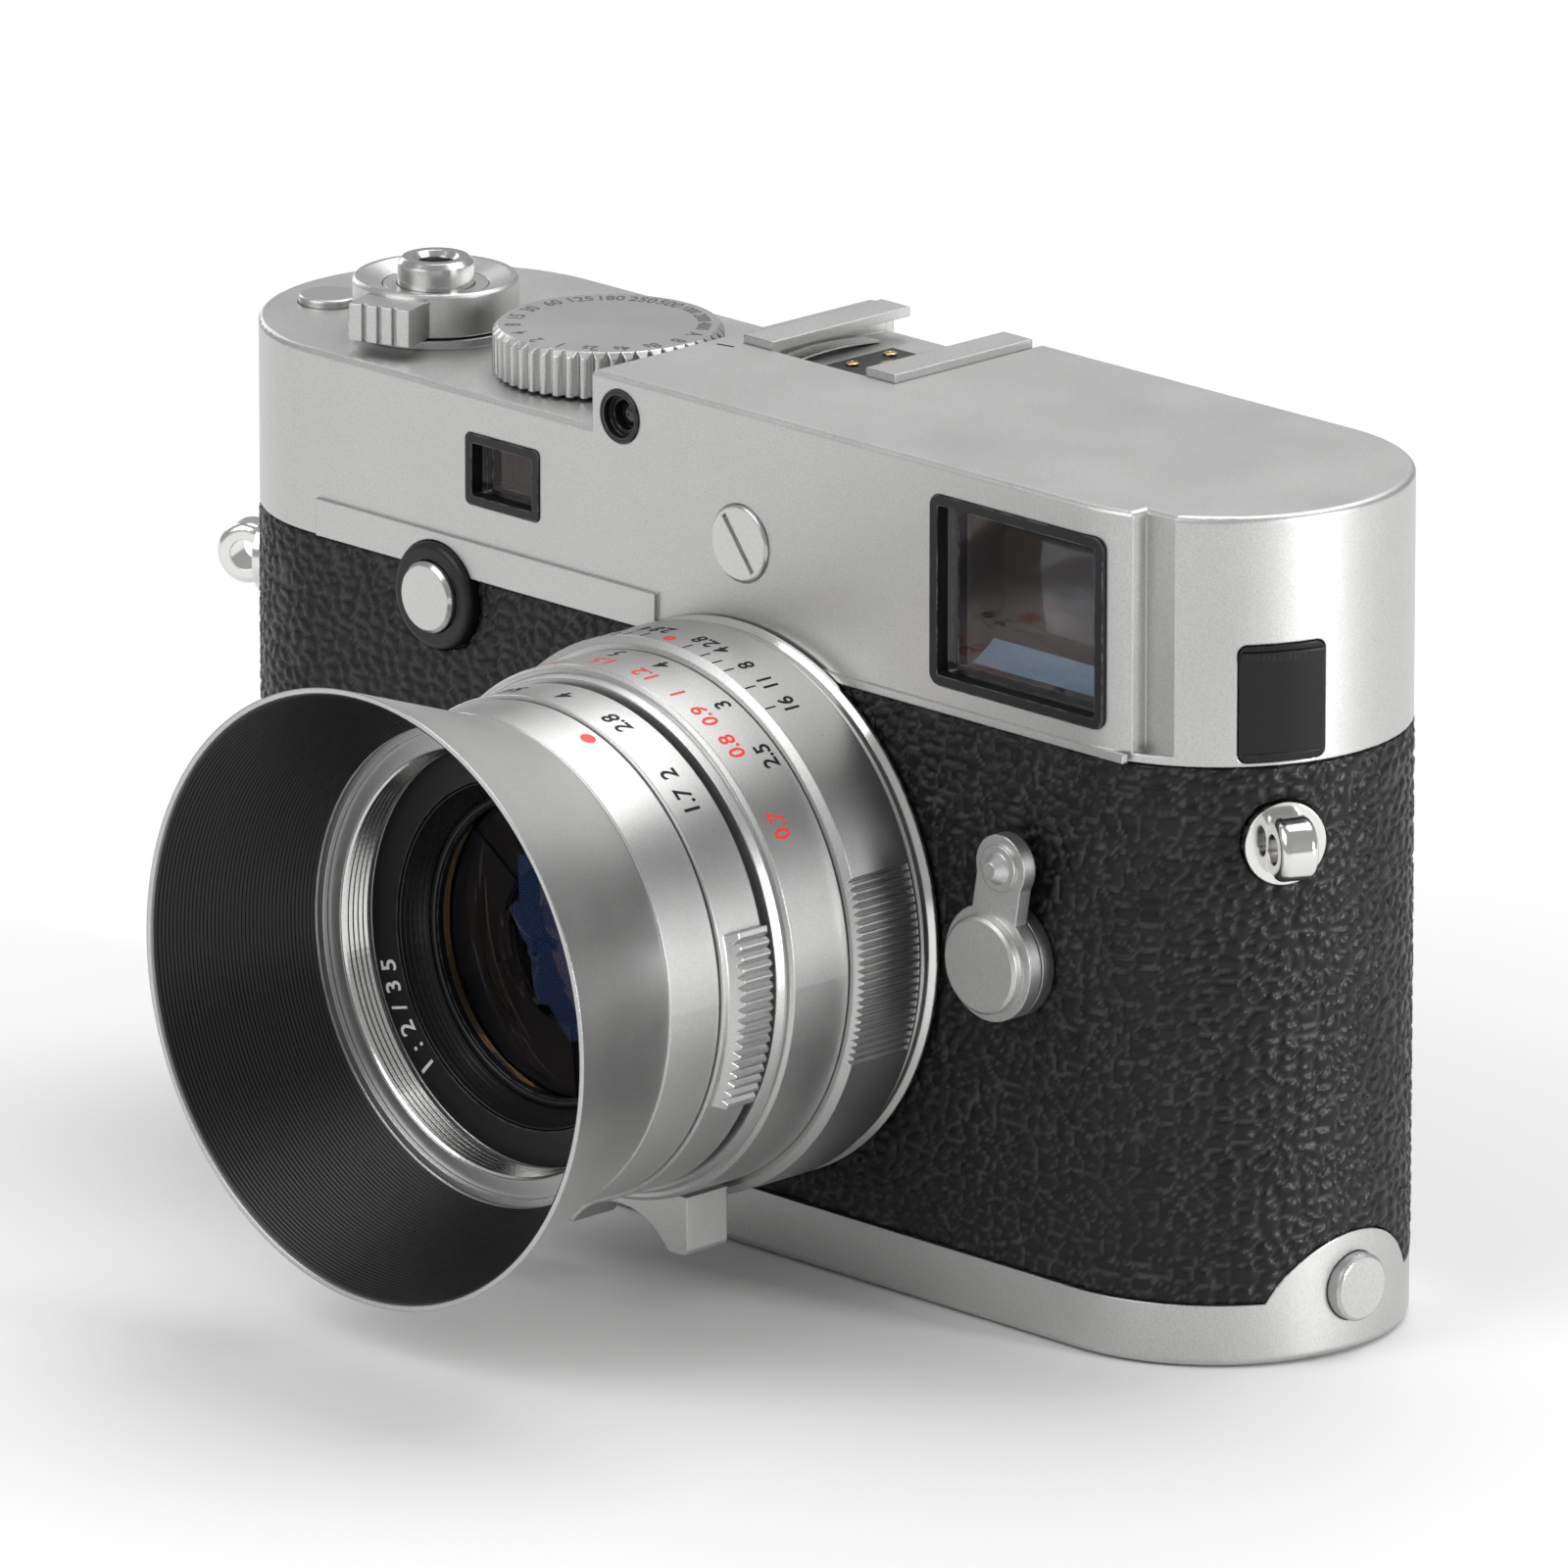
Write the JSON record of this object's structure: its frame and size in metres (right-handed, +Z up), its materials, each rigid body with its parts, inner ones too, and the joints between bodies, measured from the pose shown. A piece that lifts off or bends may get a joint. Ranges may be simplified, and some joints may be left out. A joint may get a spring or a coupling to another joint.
{
  "type": "rangefinder camera",
  "caption": "Rangefinder camera with a leather-wrapped body, silver top cover and base, manual-focus lens with focus and aperture rings, and a flared lens hood.",
  "frame": {"origin": "centre of the tripod socket mouth, in the middle of the flat underside", "axes": "+X to the right seen from the front, -Y the way the lens points, +Z up through the top deck"},
  "size_m": [0.145, 0.0869, 0.0823],
  "materials": {
    "satin_chrome": "satin chrome plating on brass, finely sand-blasted",
    "polished_chrome": "polished chrome plating",
    "lens_silver": "satin silver anodised aluminium",
    "black_leather": "black pebbled leather",
    "cast_alloy": "die-cast light alloy, painted grey",
    "black_metal": "black anodised aluminium",
    "steel": "plain machined steel",
    "optical_glass": "coated optical glass",
    "display": "glossy dark cover glass",
    "black_rubber": "matte black rubber",
    "black_plastic": "matte black plastic",
    "circuit_board": "green circuit board"
  },
  "bodies": {
    "camera_body": {"chassis": "cast_alloy", "leather_covering": "black_leather", "base_plate": "satin_chrome", "tripod_socket": "steel", "base_catch_stud": "satin_chrome", "top_cover": "satin_chrome", "cover_screw": "polished_chrome", "window_bezels": "black_metal", "window_glasses": "optical_glass", "light_sensor": "black_metal", "finder_prisms": "optical_glass", "rangefinder_frame": "cast_alloy", "accessory_shoe": "satin_chrome", "shoe_contacts": "black_plastic", "release_housing": "satin_chrome", "port_socket": "steel", "strap_lugs": "polished_chrome", "focus_button_bezel": "black_metal", "frame_lever_base": "satin_chrome", "body_mount_ring": "polished_chrome", "mount_screws": "steel", "throat_tube": "black_metal", "shutter_frame": "cast_alloy", "image_sensor": "black_metal", "main_board": "circuit_board", "battery": "black_plastic", "back_cover": "black_metal", "display_glass": "display", "eyepiece": "black_rubber", "eyepiece_lens": "optical_glass", "lens_mount": "lens_silver", "depth_scale_ring": "lens_silver"},
    "shutter_button": {"shutter_button": "satin_chrome"},
    "main_switch": {"main_switch": "satin_chrome"},
    "speed_dial": {"speed_dial": "satin_chrome"},
    "video_button": {"video_button": "satin_chrome"},
    "focus_button": {"focus_button": "satin_chrome"},
    "lens_release_button": {"lens_release_button": "satin_chrome"},
    "frame_lever": {"frame_lever": "satin_chrome"},
    "focus_ring": {"focus_ring": "lens_silver"},
    "lens_barrel": {"front_barrel": "lens_silver", "optical_cell": "black_metal", "name_ring": "black_metal", "lens_elements": "optical_glass", "iris_blades": "steel", "hood": "lens_silver"},
    "aperture_ring": {"aperture_ring": "lens_silver"},
    "rangefinder_arm": {"rangefinder_arm": "steel"},
    "base_key": {"base_key": "satin_chrome"},
    "base_key_bail": {"base_key_bail": "polished_chrome"},
    "port_cover": {"port_cover": "black_rubber"},
    "first_curtain_upper": {"first_curtain_upper": "steel"},
    "first_curtain_lower": {"first_curtain_lower": "steel"},
    "second_curtain": {"second_curtain": "steel"},
    "menu_button_top": {"menu_button_top": "black_plastic"},
    "menu_button_middle": {"menu_button_middle": "black_plastic"},
    "menu_button_bottom": {"menu_button_bottom": "black_plastic"},
    "direction_pad": {"direction_pad": "black_plastic"},
    "set_button": {"set_button": "black_plastic"},
    "thumb_wheel": {"thumb_wheel": "satin_chrome"}
  },
  "joints": [
    {"name": "shutter_press", "type": "slide", "parent": "camera_body", "child": "shutter_button", "axis": [0, 0, -1], "range_m": [0, 0.0012], "stiffness_N_per_m": 600},
    {"name": "main_switch_turn", "type": "hinge", "parent": "camera_body", "child": "main_switch", "pos_m": [-0.048, -0.0046, 0.0753], "axis": [0, 0, 1], "range_deg": [0, 45]},
    {"name": "speed_dial_turn", "type": "hinge", "parent": "camera_body", "child": "speed_dial", "pos_m": [-0.0253, -0.0038, 0.0753], "axis": [0, 0, 1], "continuous": true},
    {"name": "video_press", "type": "slide", "parent": "camera_body", "child": "video_button", "axis": [0, 0, -1], "range_m": [0, 0.0005], "stiffness_N_per_m": 600},
    {"name": "focus_press", "type": "slide", "parent": "camera_body", "child": "focus_button", "axis": [0, 1, 0], "range_m": [0, 0.0008], "stiffness_N_per_m": 600},
    {"name": "lens_release_press", "type": "slide", "parent": "camera_body", "child": "lens_release_button", "axis": [0, 1, 0], "range_m": [0, 0.0008], "stiffness_N_per_m": 800},
    {"name": "frame_lever_swing", "type": "hinge", "parent": "camera_body", "child": "frame_lever", "pos_m": [0.0427, -0.0211, 0.0359], "axis": [0, 1, 0], "range_deg": [-20, 20], "stiffness_Nm_per_rad": 0.05},
    {"name": "focus_turn", "type": "hinge", "parent": "camera_body", "child": "focus_ring", "pos_m": [0.0071, -0.0289, 0.0342], "axis": [0, -1, 0], "range_deg": [-33, 61.5]},
    {"name": "barrel_travel", "type": "slide", "parent": "camera_body", "child": "lens_barrel", "axis": [0, -1, 0], "range_m": [-0.00064, 0.00119]},
    {"name": "aperture_turn", "type": "hinge", "parent": "lens_barrel", "child": "aperture_ring", "pos_m": [0.0071, -0.0379, 0.0342], "axis": [0, -1, 0], "range_deg": [-58, 26]},
    {"name": "rangefinder_arm_swing", "type": "hinge", "parent": "camera_body", "child": "rangefinder_arm", "pos_m": [0.0071, -0.0128, 0.0607], "axis": [1, 0, 0], "range_deg": [-8.3, 4.8]},
    {"name": "base_key_turn", "type": "hinge", "parent": "camera_body", "child": "base_key", "pos_m": [-0.05, 0, 0.001], "axis": [0, 0, 1], "range_deg": [0, 120]},
    {"name": "base_key_bail_fold", "type": "hinge", "parent": "base_key", "child": "base_key_bail", "pos_m": [-0.05, 0, 0.00065], "axis": [1, 0, 0], "range_deg": [0, 90]},
    {"name": "port_cover_open", "type": "hinge", "parent": "camera_body", "child": "port_cover", "pos_m": [0.06743, -0.00802, 0.0577], "axis": [0.4431, 0.8965, 0], "range_deg": [0, 100]},
    {"name": "first_curtain_run", "type": "slide", "parent": "camera_body", "child": "first_curtain_upper", "axis": [0, 0, -1], "range_m": [0, 0.0244]},
    {"name": "first_curtain_lower_run", "type": "slide", "parent": "camera_body", "child": "first_curtain_lower", "axis": [0, 0, -1], "range_m": [0, 0.01245]},
    {"name": "second_curtain_run", "type": "slide", "parent": "camera_body", "child": "second_curtain", "axis": [0, 0, -1], "range_m": [0, 0.0244]},
    {"name": "menu_top_press", "type": "slide", "parent": "camera_body", "child": "menu_button_top", "axis": [0, -1, 0], "range_m": [0, 0.0004], "stiffness_N_per_m": 500},
    {"name": "menu_middle_press", "type": "slide", "parent": "camera_body", "child": "menu_button_middle", "axis": [0, -1, 0], "range_m": [0, 0.0004], "stiffness_N_per_m": 500},
    {"name": "menu_bottom_press", "type": "slide", "parent": "camera_body", "child": "menu_button_bottom", "axis": [0, -1, 0], "range_m": [0, 0.0004], "stiffness_N_per_m": 500},
    {"name": "direction_pad_tilt", "type": "hinge", "parent": "camera_body", "child": "direction_pad", "pos_m": [-0.04, 0.0181, 0.033], "axis": [1, 0, 0], "range_deg": [-2, 2], "stiffness_Nm_per_rad": 0.2},
    {"name": "set_press", "type": "slide", "parent": "camera_body", "child": "set_button", "axis": [0, -1, 0], "range_m": [0, 0.0004], "stiffness_N_per_m": 500},
    {"name": "thumb_wheel_turn", "type": "hinge", "parent": "camera_body", "child": "thumb_wheel", "pos_m": [-0.052, 0.0106, 0.0648], "axis": [0, 0, 1], "continuous": true}
  ],
  "couplings": [
    {"joint": "focus_turn", "follows": "barrel_travel", "rad_per_m": 891.64},
    {"joint": "rangefinder_arm_swing", "follows": "barrel_travel", "rad_per_m": -114.94},
    {"joint": "first_curtain_lower_run", "follows": "first_curtain_run", "ratio": 0.508}
  ]
}
